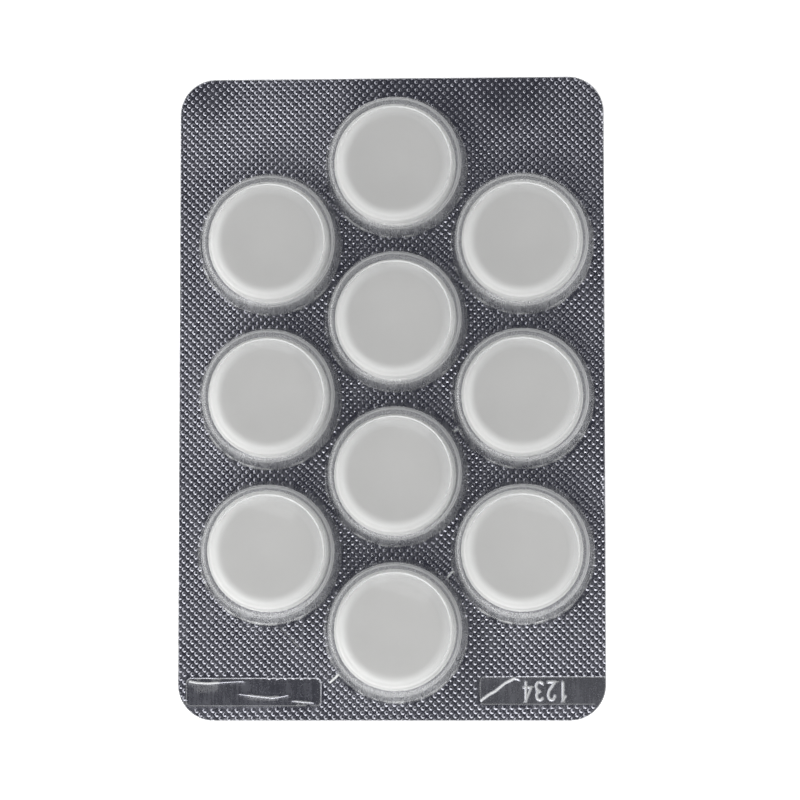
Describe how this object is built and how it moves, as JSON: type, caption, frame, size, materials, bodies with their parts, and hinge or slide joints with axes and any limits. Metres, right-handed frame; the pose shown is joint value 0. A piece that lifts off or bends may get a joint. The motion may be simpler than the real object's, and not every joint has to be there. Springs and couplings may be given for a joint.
{
  "type": "pill blister pack",
  "caption": "Push-through blister pack: flat round tablets in clear formed pockets on a flat film, closed by an aluminium foil.",
  "frame": {"origin": "middle of the foil's back, on the surface that the pack lies on", "axes": "+Z out of the foil towards the pockets, +Y along the length to the end nearest the middle column's first pocket, +X across the width"},
  "size_m": [0.0628, 0.095, 0.0051],
  "materials": {
    "clear_film": "clear glossy thermoformed film",
    "foil": "bright foil with a fine diamond knurl",
    "tablet": "matte white pressed powder"
  },
  "bodies": {
    "root": {"blister_film": "clear_film", "lidding_foil": "foil", "tablet_01": "tablet", "tablet_02": "tablet", "tablet_03": "tablet", "tablet_04": "tablet", "tablet_05": "tablet", "tablet_06": "tablet", "tablet_07": "tablet", "tablet_08": "tablet", "tablet_09": "tablet", "tablet_10": "tablet"}
  },
  "joints": []
}
